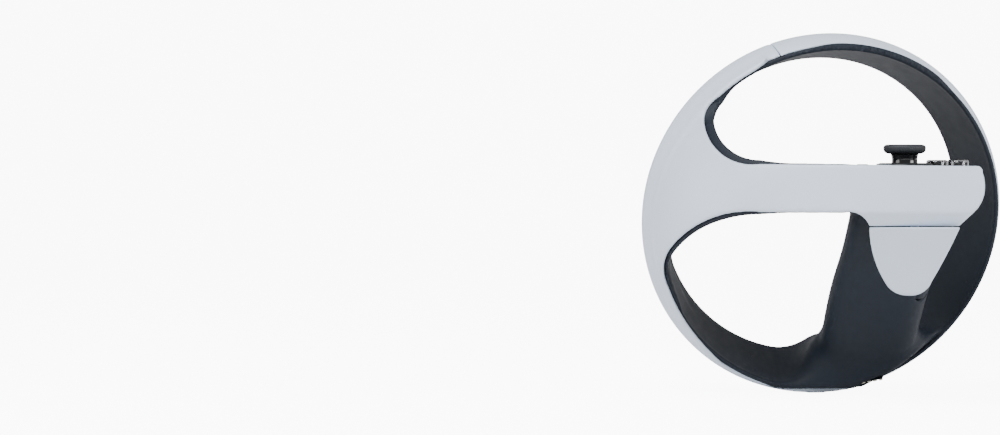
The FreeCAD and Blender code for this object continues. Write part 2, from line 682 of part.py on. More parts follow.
# ---- strap anchor on the inside of the junction ---------------------------------------------------
strap_axis = Vector(math.cos(math.radians(12)), math.sin(math.radians(12)), 0.0)
strap_frame = Placement(Vector(-61.2, -33.0, -2.0), Rotation(Vector(0, 0, 1), strap_axis))
strap_plate = rod("strap_plate", 6.6, 2.4, (0, 0, 0), frame=strap_frame)
strap_bore = rod("strap_bore", 2.6, 8.0, (0, 0, 0.8), frame=strap_frame)
node("strap_anchor", boolean("Cut", "strap_anchor", strap_plate, strap_bore))

# ---- fasteners and lamp ----------------------------------------------------------------------------
screws = []
for i, (x, z) in enumerate(((-11.7, -13.5), (11.7, -30.0), (-11.7, -62.0))):
    screws.append(rod(f"screw_{i}", 0.7, 3.2, (x, -1.2, z), (0, 1, 0), grip_frame))
    screws.append(rod(f"screw_head_{i}", 1.2, 0.9, (x, 1.65, z), (0, 1, 0), grip_frame))
node("chassis_screws", fuse("chassis_screws", screws))
node("status_lamp", rod("status_lamp", 0.9, 1.9, (33.3, -35.6, face_level - face_plate - 2.0)))
node("antenna", block("antenna", (16.0, 0.4, 6.0), (31.0, -24.2, 10.0)))

# ---- check and write -------------------------------------------------------------------------------
doc.recompute()
failed = [o.Name for o in doc.Objects if {"Invalid", "Error"} & set(o.State)]
if failed:
    raise RuntimeError("features failed: " + ", ".join(failed))
for name, feature in NODES.items():
    shape = feature.Shape
    if shape.isNull() or not shape.isValid() or not shape.Solids:
        raise RuntimeError(f"{name} has no valid solid")
    shape.exportStep(f"parts/{name}.step")
print(len(NODES), "nodes")
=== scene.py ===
"""Right-hand VR motion controller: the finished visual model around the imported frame.

The mouldings are solid fields (distance in millimetres, negative inside) sampled on a lattice,
joined with soft blends and turned into meshes. The small round parts are lathed. Frame: origin
at the centre of the tracking ring, +Z up, -Y to the front.
"""
import json
import math
import bmesh
import bpy
import numpy as np
import openvdb
from mathutils import Matrix, Vector


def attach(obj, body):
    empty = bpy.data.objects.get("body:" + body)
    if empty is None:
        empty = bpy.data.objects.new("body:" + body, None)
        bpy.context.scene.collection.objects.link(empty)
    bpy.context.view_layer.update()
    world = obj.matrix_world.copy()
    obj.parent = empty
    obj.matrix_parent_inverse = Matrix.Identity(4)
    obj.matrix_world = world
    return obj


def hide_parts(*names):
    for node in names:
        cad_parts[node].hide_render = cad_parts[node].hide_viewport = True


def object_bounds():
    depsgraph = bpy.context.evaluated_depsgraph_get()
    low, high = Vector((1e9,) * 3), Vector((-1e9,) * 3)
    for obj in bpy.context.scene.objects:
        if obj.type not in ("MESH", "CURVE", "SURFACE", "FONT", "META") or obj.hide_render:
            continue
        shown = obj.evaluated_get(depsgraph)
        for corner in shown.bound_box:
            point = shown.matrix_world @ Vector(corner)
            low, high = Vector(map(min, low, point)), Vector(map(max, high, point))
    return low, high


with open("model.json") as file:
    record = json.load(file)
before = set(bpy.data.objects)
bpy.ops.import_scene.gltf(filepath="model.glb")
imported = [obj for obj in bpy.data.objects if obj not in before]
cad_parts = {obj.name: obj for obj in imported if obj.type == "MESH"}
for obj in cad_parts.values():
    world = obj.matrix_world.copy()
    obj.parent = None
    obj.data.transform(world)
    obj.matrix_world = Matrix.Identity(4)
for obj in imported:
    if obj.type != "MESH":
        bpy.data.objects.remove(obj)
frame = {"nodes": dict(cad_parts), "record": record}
cad_box = [list(corner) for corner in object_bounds()]
nodes = frame["nodes"]

MM = 0.001
STEP = 0.6           # lattice step of the large mouldings, mm
FINE = 0.36          # lattice step of the small mouldings, mm

# ---- dimensions shared with the CAD model, mm --------------------------------------------------
SKIN, LINER, GAP, TRAVEL_GAP = 2.0, 1.5, 0.1, 0.3
RIM_RADIUS, RIM_FRONT = 72.4, -12.0
BACK_RADIUS, RIM_BACK = 63.6, 15.2
RING_BULGE = 8.5
RING_TILT, RING_HEADING = math.radians(22.0), math.radians(141.7)
SEAM_TURN, FOOT_TURN, FOOT_HALF = math.radians(164.0), math.radians(72.0), math.radians(44.0)
ORB, ORB_RADIUS = Vector((-7.6, -12.3, -1.0)), 64.6
BROW_RADIUS, BROW_TURN = 170.0, 0.16
BROW_TOP, BROW_CREASE, BROW_LIP, BROW_LEAN = 20.3, 2.0, -3.5, 4.3
FACE_LEVEL, FACE_PLATE, TUB_FLOOR, TUB_TOP, TUB_WALL = 20.2, 2.2, 2.2, 17.9, 2.0
BAND_TURN, LOWER_RIGHT, CHIN_LEVEL = math.radians(188.0), math.radians(20.0), -73.2
LINER_TOP, LINER_BOTTOM, LINER_BACK = 49.0, -37.0, 6.0      # the last is behind the orb's centre
STICK, STICK_WELL = Vector((33.3, -48.2, 13.5)), 9.6
NECK_HOLE = (31.0, -34.0, 9.0)              # centre x and y, radius
TRIGGER_X, PIN_Y, PIN_Z = 36.8, -60.1, 6.4
TRIGGER_SLOT, TRIGGER_SLOT_Y = (9.2, 6.2, 2.0), -62.0
BUTTONS = {                                 # centre x and y, radius
    "action_button_front": (54.2, -52.5, 4.3),
    "action_button_rear": (46.6, -36.0, 4.3),
    "menu_button": (16.6, -44.0, 2.4),
    "home_button": (21.0, -31.5, 3.6),
}
GRIP_RAKE, GRIP_LEAN, GRIP_WALL = math.radians(41.0), math.radians(10.0), 2.2
GRIP_BASE = Vector((31.5, -36.0, -6.0))
GRIP_SECTIONS = [                           # level, centre x and y, half width and half depth
    (2.1, 33.6, -37.5, 21.6, 18.4),
    (-12.0, 29.8, -31.0, 20.8, 18.2),
    (-30.0, 24.2, -17.0, 20.2, 17.6),
    (-47.0, 20.6, -3.0, 19.8, 16.0),
    (-61.0, 18.2, 10.6, 19.2, 15.4),
    (-73.6, 16.2, 18.6, 18.2, 11.6),
]
HEEL = Vector((17.4, 18.0, -54.0))          # middle of the foot's heel and the level of its top
HEEL_HALF_WIDTH, HEEL_HALF_DEPTH = 17.6, 8.0
FOOT_BEVELS = (                             # planes: x and z of the normal, distance
    (0.606, -0.796, 70.6),
    (0.427, -0.904, 73.6),
)
CAVITY_FLOOR = -62.0                        # of the hollow in the grip
KEY_HALF_WIDTH, KEY_HALF_HEIGHT, KEY_CORNER = 5.0, 12.5, 3.2      # side button in the grip
KEY_OFFSET, KEY_LEVEL, KEY_SIDE = -5.6, -16.0, 9.0
PORT_TURN = Matrix.Rotation(math.radians(47.0), 3, "X") @ Matrix.Rotation(math.radians(-17.0), 3, "Y")
PORT_BASE = Vector((21.0, 6.6, -68.6))
BEZEL = (5.3, 2.5, 1.9)                     # half width, half height and corner radius of its front
PORT_SCOOP, PORT_MOUTH, PORT_MOUTH_RISE = (6.6, 3.4, 2.4), (4.7, 1.8, 1.5), 0.3
PAD, PAD_PITCH, PAD_COUNT = (0.85, 0.45, 0.3), 2.5, 4
PAD_DROP, PAD_MIDDLE, PAD_HALF_THICKNESS = 2.05, 0.4, 0.45
STRAP_BASE, STRAP_HEADING, STRAP_BORE = (-61.2, -33.0, -2.0), math.radians(12.0), 2.6

ring_axis = Vector((math.sin(RING_TILT) * math.cos(RING_HEADING), math.cos(RING_TILT),
                    math.sin(RING_TILT) * math.sin(RING_HEADING)))
ring_side = (Vector((1, 0, 0)) - ring_axis * ring_axis.x).normalized()
ring_down = ring_axis.cross(ring_side)
grip_turn = Matrix.Rotation(GRIP_RAKE, 3, "X") @ Matrix.Rotation(GRIP_LEAN, 3, "Y")
brow_x = ORB.x - ORB_RADIUS * BROW_TURN + BROW_RADIUS * BROW_TURN
brow_y = ORB.y - math.sqrt(1 - BROW_TURN**2) * (ORB_RADIUS - BROW_RADIUS)
join_x = ORB.x - ORB_RADIUS * BROW_TURN


# ---- fields --------------------------------------------------------------------------------------
def join(a, b, soft):
    """Union of two fields with a blend of this width."""
    h = np.maximum(soft - np.abs(a - b), 0) / soft
    return np.minimum(a, b) - h * h * (soft / 4)


def both(a, b, soft=0.3):
    """Intersection of two fields with an edge rounded by this width."""
    return -join(-a, -b, soft)


def less(a, b, soft=0.3):
    """The first field with the second cut away."""
    return -join(-a, b, soft)


def ramp(t, low, high):
    """0 below low, 1 above high, smooth between."""
    t = np.clip((t - low) / (high - low), 0, 1)
    return t * t * (3 - 2 * t)


def arc_points(a, b, c, count=24):
    """Points after a, up to c, on the circle through a, b and c."""
    (ax, ay), (bx, by), (cx, cy) = a, b, c
    d = 2 * (ax * (by - cy) + bx * (cy - ay) + cx * (ay - by))
    aa, bb, cc = ax**2 + ay**2, bx**2 + by**2, cx**2 + cy**2
    ux = (aa * (by - cy) + bb * (cy - ay) + cc * (ay - by)) / d
    uy = (aa * (cx - bx) + bb * (ax - cx) + cc * (bx - ax)) / d
    start, middle, end = (math.atan2(py - uy, px - ux) for px, py in (a, b, c))
    turn = (end - start) % math.tau
    if (middle - start) % math.tau > turn:
        turn -= math.tau
    r = math.hypot(ax - ux, ay - uy)
    angles = [start + turn * (i + 1) / count for i in range(count)]
    return [(ux + r * math.cos(t), uy + r * math.sin(t)) for t in angles]


def outline(start, steps):
    """Points of an outline: a step (end,) is a line and a step (middle, end) is an arc."""
    points = [start]
    for step in steps:
        points += arc_points(points[-1], *step) if len(step) == 2 else [step[0]]
    return points


def outline_field(points, u, v):
    """Signed distance to a closed outline, over a flat grid."""
    shape = np.broadcast_shapes(u.shape, v.shape)
    best, inside = np.full(shape, 1e9, np.float32), np.zeros(shape, bool)
    for (ax, ay), (bx, by) in zip(points, points[1:] + points[:1]):
        ex, ey = bx - ax, by - ay
        square = ex * ex + ey * ey
        if square > 0:
            t = np.clip(((u - ax) * ex + (v - ay) * ey) / square, 0, 1)
            best = np.minimum(best, (u - ax - t * ex) ** 2 + (v - ay - t * ey) ** 2)
        if ay != by:
            inside ^= ((ay > v) != (by > v)) & (u < ax + (v - ay) * ex / (by - ay))
    return np.where(inside, -1, 1).astype(np.float32) * np.sqrt(best)


def rounded_box(u, v, half_u, half_v, radius):
    """Signed distance to a rounded rectangle about the origin."""
    du, dv = np.abs(u) - half_u + radius, np.abs(v) - half_v + radius
    outside = np.sqrt(np.maximum(du, 0) ** 2 + np.maximum(dv, 0) ** 2)
    return outside + np.minimum(np.maximum(du, dv), 0) - radius


def sampled(field, points):
    """The field between its samples, at points counted in samples."""
    corner = np.clip(np.floor(points).astype(int), 0, np.array(field.shape) - 2)
    part = points - corner
    total = 0.0
    for offset in np.ndindex(2, 2, 2):
        share = np.prod(np.where(offset, part, 1 - part), axis=1)
        total = total + share * field[tuple((corner + offset).T)]
    return total


def sharpened(points, pair, step):
    """Points near the edge where both fields are zero, moved onto it."""
    near = np.flatnonzero(np.all([np.abs(sampled(f, points)) < 0.75 * step for f in pair], axis=0))
    moved = points[near]
    for _ in range(4):
        values = np.stack([sampled(f, moved) for f in pair], axis=1)
        slopes = np.stack([np.stack([sampled(f, moved + axis) - sampled(f, moved - axis)
                                     for axis in np.eye(3) * 0.5], axis=1) for f in pair], axis=1)
        square = slopes @ slopes.transpose(0, 2, 1) + np.eye(2) * 1e-4
        moved = moved - np.einsum("nij,ni->nj", slopes, np.linalg.solve(square, values[..., None])[..., 0])
    settled = np.linalg.norm(moved - points[near], axis=1) < 1.2
    points = points.copy()
    points[near[settled]] = moved[settled]
    return points


class Lattice:
    """A block of space sampled on a regular grid, in millimetres."""

    def __init__(self, low, high, step):
        self.low, self.step = low, step
        spans = [np.arange(a, b, step, dtype=np.float32) for a, b in zip(low, high)]
        self.x, self.y, self.z = spans[0][:, None, None], spans[1][None, :, None], spans[2][None, None, :]

    def along(self, point, axis):
        """Distance from a point along an axis."""
        return (self.x - point[0]) * axis[0] + (self.y - point[1]) * axis[1] + (self.z - point[2]) * axis[2]

    def mesh(self, name, field, settle=3, partings=()):
        """The field's zero surface as a smooth object. Each parting is a pair of fields whose
        common edge is kept sharp, so that two mouldings meet there without a groove."""
        shape = (self.x.size, self.y.size, self.z.size)
        reach = 3 * self.step
        volume = openvdb.FloatGrid(reach)
        volume.copyFromArray(np.clip(np.broadcast_to(field, shape), -reach, reach).astype(np.float32))
        points, triangles, quads = volume.convertToPolygons(0.0, 0.0)
        points = np.asarray(points, np.float32)
        for pair in partings:
            points = sharpened(points, [np.broadcast_to(f, shape) for f in pair], self.step)
        points = (points * self.step + np.array(self.low)) * MM
        mesh = bpy.data.meshes.new(name)
        mesh.from_pydata(points.tolist(), [], np.asarray(quads).tolist() + np.asarray(triangles).tolist())
        return finished(name, mesh, settle)


def finished(name, mesh, settle=0):
    """An object of this mesh: faces outwards, lightly settled, smooth shaded."""
    mesh.validate()
    work = bmesh.new()
    work.from_mesh(mesh)
    for _ in range(settle):
        bmesh.ops.smooth_vert(work, verts=work.verts, factor=0.5,
                              use_axis_x=True, use_axis_y=True, use_axis_z=True)
    bmesh.ops.recalc_face_normals(work, faces=work.faces)
    if work.calc_volume(signed=True) < 0:
        bmesh.ops.reverse_faces(work, faces=work.faces)
    work.to_mesh(mesh)
    work.free()
    for polygon in mesh.polygons:
        polygon.use_smooth = True
    mesh.set_sharp_from_angle(angle=math.radians(50))
    piece = bpy.data.objects.new(name, mesh)
    bpy.context.scene.collection.objects.link(piece)
    return piece


def placed(piece, look, body, *replaced):
    """Give a piece its material and body, and hide the CAD nodes it stands for."""
    piece.data.materials.clear()
    piece.data.materials.append(LOOKS[look])
    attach(piece, body)
    if replaced:
        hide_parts(*replaced)
    return piece


# ---- materials ------------------------------------------------------------------------------------
def moulded(name, colour, roughness, metallic=0.0, grain=0.0, mottle=0.05, wear=0.06, coat=0.0,
            transmission=0.0, ior=1.46, shine=0.5):
    """A material with slight colour mottling, handling wear in its roughness and a fine grain."""
    made = bpy.data.materials.new(name)
    made.use_nodes = True
    tree = made.node_tree
    shader = tree.nodes["Principled BSDF"]
    for socket, value in (("Metallic", metallic), ("IOR", ior), ("Coat Weight", coat),
                          ("Coat Roughness", 0.08), ("Transmission Weight", transmission),
                          ("Specular IOR Level", shine)):
        shader.inputs[socket].default_value = value
    place = tree.nodes.new("ShaderNodeTexCoord")

    def noise(scale, detail):
        """Noise fixed to the piece, with this many features to the metre."""
        texture = tree.nodes.new("ShaderNodeTexNoise")
        texture.inputs["Scale"].default_value = scale
        texture.inputs["Detail"].default_value = detail
        tree.links.new(place.outputs["Object"], texture.inputs["Vector"])
        return texture.outputs["Fac"]

    shades = tree.nodes.new("ShaderNodeValToRGB")
    for element, spot, level in zip(shades.color_ramp.elements, (0.3, 0.7), (1 - mottle, 1 + mottle)):
        element.position = spot
        element.color = (*[min(c * level, 1.0) for c in colour], 1.0)
    tree.links.new(noise(45.0, 4.0), shades.inputs["Fac"])
    tree.links.new(shades.outputs["Color"], shader.inputs["Base Color"])
    finish = tree.nodes.new("ShaderNodeMapRange")
    finish.inputs["To Min"].default_value = max(roughness - wear, 0.02)
    finish.inputs["To Max"].default_value = min(roughness + wear, 1.0)
    tree.links.new(noise(160.0, 6.0), finish.inputs["Value"])
    tree.links.new(finish.outputs["Result"], shader.inputs["Roughness"])
    if grain:
        relief = tree.nodes.new("ShaderNodeBump")
        relief.inputs["Strength"].default_value = grain
        relief.inputs["Distance"].default_value = 0.00005
        tree.links.new(noise(2600.0, 3.0), relief.inputs["Height"])
        tree.links.new(relief.outputs["Normal"], shader.inputs["Normal"])
    return made


LOOKS = {
    "white": moulded("white_satin", (0.60, 0.68, 0.80), 0.40, grain=0.10, mottle=0.01, wear=0.04),
    "dark": moulded("dark_matte", (0.008, 0.0125, 0.021), 0.58, grain=0.25, mottle=0.06, shine=0.3),
    "black": moulded("black_satin", (0.012, 0.013, 0.016), 0.36, grain=0.12, mottle=0.1),
    "rubber": moulded("stick_rubber", (0.020, 0.023, 0.029), 0.60, grain=0.6, mottle=0.1),
    "gloss": moulded("black_gloss", (0.008, 0.008, 0.010), 0.12, mottle=0.05, wear=0.03, coat=0.6),
    "clear": moulded("clear_resin", (0.93, 0.95, 0.98), 0.04, mottle=0.01, wear=0.02, transmission=1.0,
                     ior=1.49),
    "mark": moulded("button_mark", (0.50, 0.52, 0.56), 0.45, mottle=0.04, grain=0.1),
    "steel": moulded("steel", (0.56, 0.56, 0.58), 0.30, metallic=1.0, grain=0.15),
    "gold": moulded("contact_plating", (0.90, 0.84, 0.70), 0.22, metallic=1.0, grain=0.05),
    "board": moulded("circuit_board", (0.016, 0.10, 0.045), 0.38, grain=0.2),
    "film": moulded("flex_film", (0.42, 0.20, 0.04), 0.34, grain=0.1),
    "led": moulded("led_resin", (0.05, 0.010, 0.018), 0.15, mottle=0.1, coat=0.4),
    "lamp": moulded("lamp_diffuser", (0.86, 0.88, 0.90), 0.30, mottle=0.02, transmission=0.6),
    "wrap": moulded("battery_wrap", (0.07, 0.09, 0.14), 0.30, grain=0.1),
}
SLOTS = {
    "white": "white_shell", "dark": "dark_shell", "black": "black_plastic", "rubber": "rubber",
    "gloss": "black_plastic", "clear": "clear_button", "mark": "lamp", "steel": "steel",
    "gold": "contacts", "board": "circuit_board", "film": "flex_film", "led": "led_resin",
    "lamp": "lamp", "wrap": "battery_wrap",
}
SLOT_LOOKS = {slot: look for look, slot in SLOTS.items() if look not in ("gloss", "mark")}
for part in frame["record"]["subparts"]:
    mesh = nodes[part["node"]].data
    mesh.materials.clear()
    mesh.materials.append(LOOKS[SLOT_LOOKS[part["material_slot"]]])


# ---- ring, band, liner and grip, all on one lattice ---------------------------------------------
space = Lattice((-79.0, -81.5, -79.0), (79.5, 44.0, 79.5), STEP)
x, y, z = space.x, space.y, space.z
station = space.along((0, 0, 0), ring_axis)
ring_u, ring_v = space.along((0, 0, 0), ring_side), space.along((0, 0, 0), ring_down)
radius = np.sqrt(ring_u**2 + ring_v**2)
chord = Vector((BACK_RADIUS - RIM_RADIUS, RIM_BACK - RIM_FRONT))
chord_length = chord.length
chord.normalize()
back = (radius - RIM_RADIUS) * chord.x + (station - RIM_FRONT) * chord.y      # along the section
out = (radius - RIM_RADIUS) * chord.y - (station - RIM_FRONT) * chord.x       # away from the hole
del station, radius


def around(angle):
    """Distance from the ring's axis along the direction at this angle round it."""
    return ring_u * math.cos(angle) + ring_v * math.sin(angle)


def front_lip():
    """Lip of the dark plate at the ring's front rim. It fades under the band and by the foot."""
    height = (LINER + 1.1) * (1 - ramp(around(BAND_TURN), 5, 35)) * (1 - ramp(around(LOWER_RIGHT), 20, 45))
    return rounded_box(back - 0.5, out - height / 2, 0.9, height / 2, 0.5)


def white_section():
    """Bowed hollow section of the white ring mouldings."""
    foot = LINER + GAP
    half, rise = chord_length / 2 - 0.3, RING_BULGE - foot
    bow_radius = (half**2 + rise**2) / (2 * rise)
    bow = np.sqrt((back - chord_length / 2) ** 2 + (out - RING_BULGE + bow_radius) ** 2) - bow_radius
    skin = both(both(bow, -bow - SKIN, 0.3), foot - out, 0.8)
    chin = both(rounded_box(back - 1.4, out - 1.3, 2.0, 1.3, 0.6), z - CHIN_LEVEL)
    return join(less(skin, front_lip() - GAP, 0.3), chin, 0.8)


def front_depth():
    """Distance outside the orb and the leaning brow, one smooth surface."""
    orb = np.sqrt((x - ORB.x) ** 2 + (y - ORB.y) ** 2 + (z - ORB.z) ** 2) - ORB_RADIUS
    upper = (z - BROW_CREASE) * (BROW_LEAN / (BROW_TOP - BROW_CREASE))
    lower = (BROW_CREASE - z) * (BROW_LEAN * 0.9 / (BROW_CREASE - BROW_LIP))
    lean = -join(-upper, -lower, 0.5)
    brow = (np.sqrt((x - brow_x) ** 2 + (y - brow_y) ** 2) - BROW_RADIUS + lean) * 0.95
    share = ramp(x, join_x - 12, join_x + 12)
    return orb * (1 - share) + brow * share


BAND_OUTLINE = outline((60.6, BROW_TOP), [
    ((-24.2, BROW_TOP + 0.8),),
    ((-40.5, 26.0), (-46.8, 37.4)),
    ((-45.9, 43.8), (-41.2, 48.4)),
    ((-36.4, 52.6), (-30.5, 56.8)),
    ((-25.0, 60.6), (-21.5, 64.2)),
    ((-38.0, 63.0),),
    ((-78.0, 56.0),),
    ((-78.0, -52.0),),
    ((-56.0, -74.0),),
    ((-39.5, -65.0),),
    ((-47.5, -55.4), (-54.8, -45.4)),
    ((-59.0, -37.9), (-62.2, -29.8)),
    ((-63.8, -21.5), (-60.7, -13.6)),
    ((-48.5, -3.3), (-24.0, 1.9)),
    ((9.0, 1.9),),
    ((15.6, 0.6), (18.8, BROW_LIP)),
    ((54.2, BROW_LIP),),
    ((60.8, 2.8),),
    ((64.3, 11.0), (63.4, BROW_TOP - 2.8)),
    ((62.8, BROW_TOP - 0.7), (60.6, BROW_TOP)),
])
view = outline_field(BAND_OUTLINE, x[:, :, 0], z[0])[:, None, :]
depth = front_depth()

ring_white = white_section()
half_chord = chord_length / 2
plate = rounded_box(back - half_chord, out - LINER / 2, half_chord + 0.4, LINER / 2, 0.6)
band = both(both(join(depth, plate - 1.1, 3.0), -depth - SKIN, 0.5), view, 1.1)
ring_core = np.maximum(out - LINER - GAP, -0.5 - back)
band = both(less(band, ring_core), back - chord_length + 3)
left_side = around(SEAM_TURN)
white = join(band, both(ring_white, GAP / 2 - left_side, 0.25), 2.6)
placed(space.mesh("main_shell_moulding", white), "white", "root", "main_shell")
arch = both(ring_white, GAP / 2 + left_side, 0.25)
placed(space.mesh("arch_shell_moulding", arch), "white", "root", "arch_shell")
del white, band, arch, ring_white, left_side, ring_core

# Dark mouldings: the ring's plate flows into the liner behind the band and into the grip. The liner
# is thicker in the middle of its left end, where the band's edge shows it.
plate = join(plate, front_lip(), 0.6)
depth = depth + SKIN + GAP
middle = ramp(z, -38, -12) * (1 - ramp(z, 40, 52))
hole_edge = (1 - ramp(x, -46, -10)) * middle * (1.6 + 1.9 * ramp(z, -5, 15)) + 0.3 * (1 - ramp(x, 8, 14))
liner_depth = LINER + 2.4 * (1 - ramp(x, -62, -18)) * middle
liner = both(both(depth, -depth - liner_depth, 0.8), view - hole_edge, 0.8)
beyond_ring = np.maximum(LINER / 2 - out, -back)
liner = less(liner, beyond_ring)
liner = both(liner, np.maximum(z - LINER_TOP, LINER_BOTTOM - z), 6.0)
liner = both(liner, y - ORB.y - LINER_BACK, 3.0)
del depth, view, hole_edge, liner_depth, middle


def smooth_through(values, levels, heights):
    """Smooth cubic curve through these values at these levels."""
    slopes = np.gradient(values, levels)
    i = np.clip(np.searchsorted(levels, heights) - 1, 0, len(levels) - 2)
    span = levels[i + 1] - levels[i]
    t = np.clip((heights - levels[i]) / span, -0.3, 1.3)
    start, end = (1 + 2 * t) * (1 - t) ** 2 * values[i], t * t * (3 - 2 * t) * values[i + 1]
    return start + end + t * (1 - t) * span * ((1 - t) * slopes[i] - t * slopes[i + 1])


def grip_form(place, power=2.4):
    """Signed distance to the grip's rounded column, which runs back as it goes down to the foot."""
    levels, *tracks = (np.array(track) for track in zip(*reversed(GRIP_SECTIONS)))
    cx, cy, hx, hy = (smooth_through(track, levels, place.z.ravel()).astype(np.float32)[None, None, :]
                      for track in tracks)
    hy, lean = hy * math.cos(GRIP_RAKE), math.cos(GRIP_RAKE)
    px, py = np.abs(place.x - cx) / hx, np.abs(place.y - cy) * lean / hy
    size = (px**power + py**power) ** (1 / power) + 1e-4
    slope = np.sqrt((px ** (power - 1) / hx) ** 2 + (py ** (power - 1) / hy) ** 2) / size ** (power - 1)
    return (size - 1) / (slope + 1e-3)


HEAD_FRONT = BROW_RADIUS - BROW_LEAN - SKIN - LINER - 3 * GAP


def head_plan(place):
    """Signed distance to the control head seen from above."""
    def front(px):
        return px, brow_y - math.sqrt(HEAD_FRONT**2 - (px - brow_x) ** 2)

    points = outline(front(13), [
        (front(35), front(56)),
        ((60.8, -56), (61.8, -50)),
        ((58.4, -31), (44, -21)),
        ((30, -18.5), (15, -24)),
        ((9.5, -33), (9, -46)),
        ((9.2, -60),),
        ((10.2, -66), front(13)),
    ])
    return outline_field(points, place.x[:, :, 0], place.y[:, :, 0])[:, :, None]


column = grip_form(space)
foot_bevel = both(*(across * x + up * z - reach for across, up, reach in FOOT_BEVELS), 3.0)
port_local = [space.along(PORT_BASE, PORT_TURN.col[i]) for i in range(3)]
port_scoop = both(rounded_box(port_local[0], port_local[2], *PORT_SCOOP), port_local[1] + 0.6, 1.0)
heel = both(np.abs(x - HEEL.x) - HEEL_HALF_WIDTH, np.abs(y - HEEL.y) - HEEL_HALF_DEPTH, 6.0)
heel = both(heel, z - HEEL.z, 6.0)
grip = both(column, z - TUB_FLOOR + GAP, 1.0)
grip = less(grip, beyond_ring)
head = both(head_plan(space), np.maximum(TUB_FLOOR - z, z - TUB_TOP), 1.5)
grip = join(grip, less(heel, beyond_ring), 14.0)
foot = both(join(plate, grip, 20.0), foot_bevel, 2.5)
dark = join(join(join(foot, plate, 0.5), liner, 6.0), head, 2.0)
dark = both(less(dark, port_scoop, 1.2), CHIN_LEVEL + GAP - z, 0.5)
del grip, head, foot, foot_bevel, port_scoop, heel, beyond_ring

# the dark mouldings part here; they meet face to face
foot_wedge = (np.abs(around(FOOT_TURN + math.pi / 2)) * math.cos(FOOT_HALF)
              - around(FOOT_TURN) * math.sin(FOOT_HALF))
ring_zone = np.maximum(np.maximum(plate - 4.5, -foot_wedge), -1.0 - back)
ring_piece = both(dark, ring_zone, 0.05)
placed(space.mesh("ring_inner_moulding", ring_piece, 0, [(dark, ring_zone)]),
       "dark", "root", "ring_inner_shell")
liner_zone = np.maximum(liner - 3.5, back + 1.0)
liner_piece = both(dark, liner_zone, 0.05)
placed(space.mesh("band_liner_moulding", liner_piece, 0, [(dark, liner_zone)]),
       "dark", "root", "band_liner")
del ring_piece, liner_piece

# the grip: two hollow halves with a window for the side button and a seat for the port
cavity = both(column + GRIP_WALL, CAVITY_FLOOR - z, 3.0)
grip_zone = np.maximum(np.maximum(-ring_zone, -liner_zone), z - TUB_FLOOR + GAP)
grip_side = space.along(GRIP_BASE, grip_turn.col[0])
grip_fore = space.along(GRIP_BASE, grip_turn.col[1])
grip_rise = space.along(GRIP_BASE, grip_turn.col[2])
key = np.maximum(rounded_box(grip_fore - KEY_OFFSET, grip_rise - KEY_LEVEL,
                             KEY_HALF_WIDTH, KEY_HALF_HEIGHT, KEY_CORNER), KEY_SIDE - grip_side)
port_room = rounded_box(port_local[0], port_local[2], BEZEL[0] + GAP, BEZEL[1] + GAP, BEZEL[2])
port_room = np.maximum(port_room, np.abs(port_local[1]) - 12.0)
shell = less(less(both(dark, grip_zone, 0.05), cavity), port_room, 0.4)
del cavity, grip_side, port_local, port_room, liner_zone, ring_zone
windowed = less(shell, key - TRAVEL_GAP, 0.5)
edges = [(dark, grip_zone), (shell, grip_fore)]
for name, side in (("grip_front", grip_fore), ("grip_rear", -grip_fore)):
    placed(space.mesh(name + "_moulding", both(windowed, side, 0.05), 0, edges),
           "dark", "root", name + "_shell")
placed(space.mesh("grip_button_cap", both(shell, key, 0.7)), "dark", "grip_key", "grip_button")
del key, windowed, side, edges, shell, dark, plate, liner, column
del grip_zone, grip_fore, grip_rise, foot_wedge, back, out, ring_u, ring_v


# ---- control head: tub and face plate -----------------------------------------------------------
head_space = Lattice((7.0, -79.0, 1.0), (64.0, -16.0, 22.0), FINE)
x, y, z = head_space.x, head_space.y, head_space.z
plan = head_plan(head_space)


def disc(place, centre_x, centre_y, size):
    """Signed distance to an upright round column."""
    return np.sqrt((place.x - centre_x) ** 2 + (place.y - centre_y) ** 2) - size


tub = both(both(plan, TUB_FLOOR - z, 1.5), z - TUB_TOP, 0.3)
tub = less(tub, both(plan + TUB_WALL, TUB_FLOOR + TUB_WALL - z, 1.0))
trigger_slot = rounded_box(x - TRIGGER_X, y - TRIGGER_SLOT_Y, *TRIGGER_SLOT)
neck_hole = disc(head_space, *NECK_HOLE)
tub = less(less(tub, np.maximum(trigger_slot, z - 5.0)), np.maximum(neck_hole, z - 5.0))
placed(head_space.mesh("head_tub_moulding", tub, 2), "dark", "root", "head_tub")
plate_face = both(both(plan, FACE_LEVEL - FACE_PLATE - z, 0.4), z - FACE_LEVEL, 1.2)
plate_face = less(plate_face, disc(head_space, STICK.x, STICK.y, STICK_WELL), 0.5)
for centre_x, centre_y, size in BUTTONS.values():
    plate_face = less(plate_face, disc(head_space, centre_x, centre_y, size + TRAVEL_GAP), 0.7)
placed(head_space.mesh("face_plate_moulding", plate_face, 2), "dark", "root", "face_plate")
del tub, plan, trigger_slot, neck_hole, plate_face

